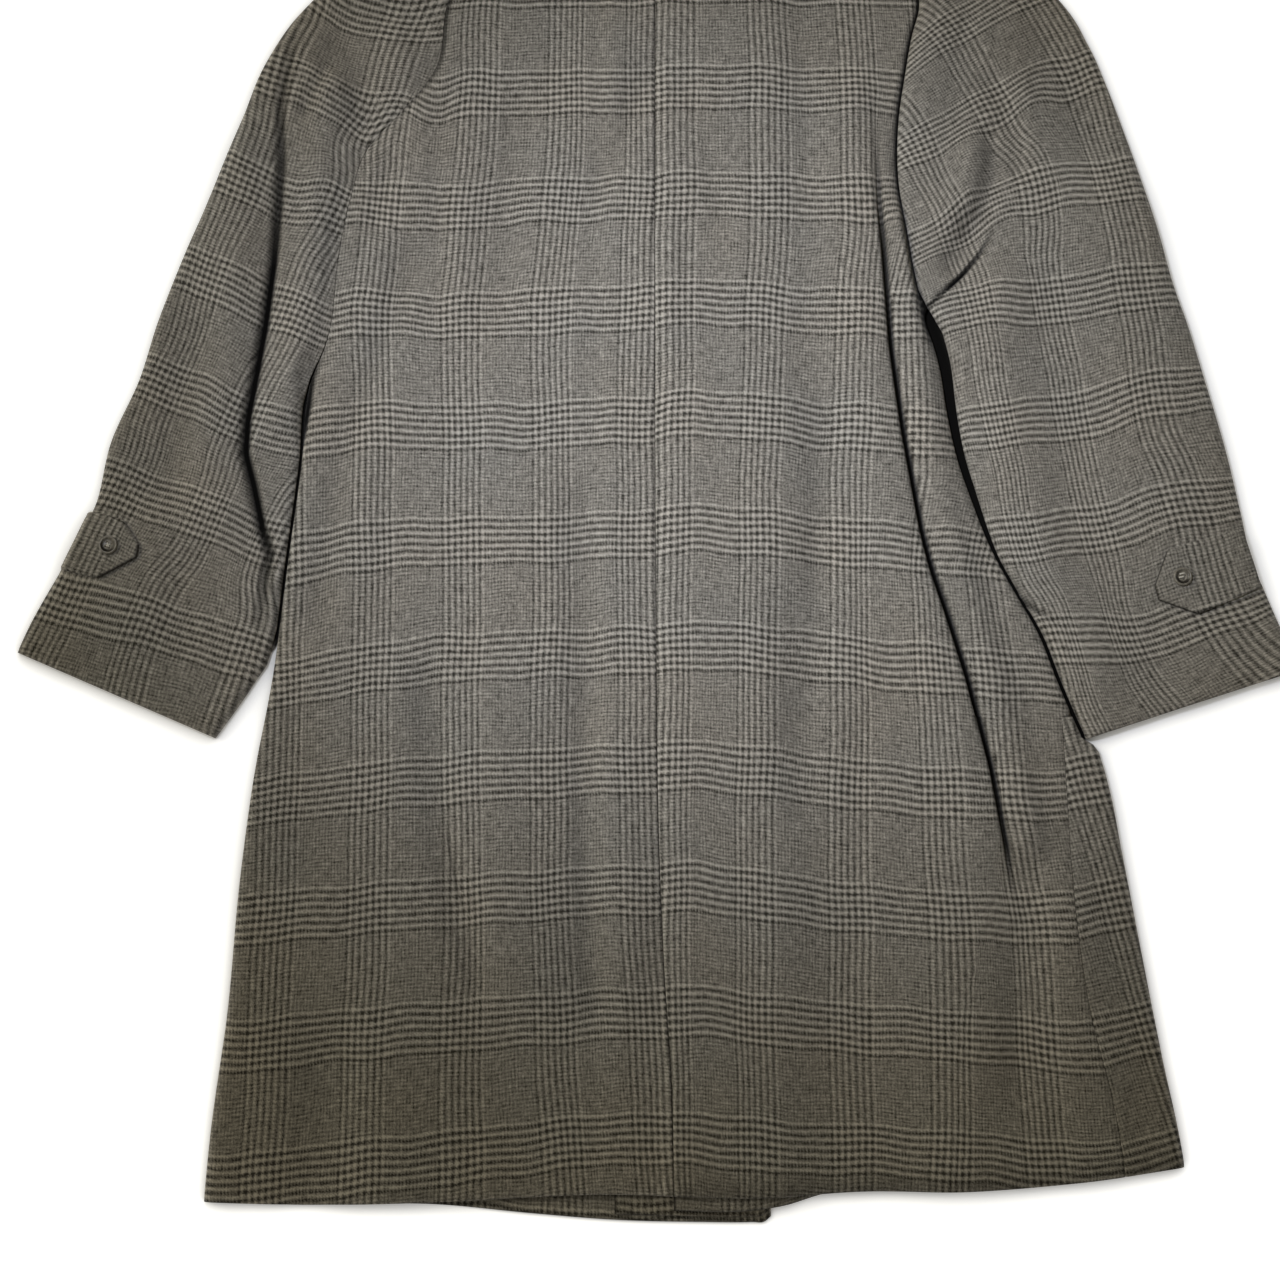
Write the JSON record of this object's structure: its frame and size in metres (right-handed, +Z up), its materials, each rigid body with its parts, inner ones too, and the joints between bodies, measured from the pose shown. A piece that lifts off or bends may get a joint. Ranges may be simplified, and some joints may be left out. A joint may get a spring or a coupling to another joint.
{
  "type": "overcoat",
  "caption": "Raglan wool overcoat in a glen check with a plain centre-back seam, turned-down collar and buttoned sleeve tabs, laid flat face down.",
  "frame": {"origin": "on the table under the centre-back seam, on the left front's flat underside, a little above the middle of the coat's length", "axes": "+Z up from the table, +Y towards the collar, +X towards the wearer's right sleeve"},
  "size_m": [0.953, 1.1237, 0.0178],
  "materials": {
    "coat_cloth": "brushed wool twill, glen check",
    "facing_cloth": "brushed wool twill, glen check",
    "tab_cloth": "brushed wool twill, glen check",
    "button": "semi-gloss, dark horn"
  },
  "bodies": {
    "root": {"back_left": "coat_cloth", "back_right": "coat_cloth", "front_left": "coat_cloth", "front_facing": "facing_cloth", "front_right": "coat_cloth", "front_right_turn": "coat_cloth", "sleeve_left_front": "coat_cloth", "sleeve_left_back": "coat_cloth", "sleeve_right_front": "coat_cloth", "sleeve_right_back": "coat_cloth", "collar": "coat_cloth", "sleeve_tab_left": "tab_cloth", "sleeve_tab_right": "tab_cloth", "sleeve_button_left": "button", "sleeve_button_right": "button"}
  },
  "joints": []
}
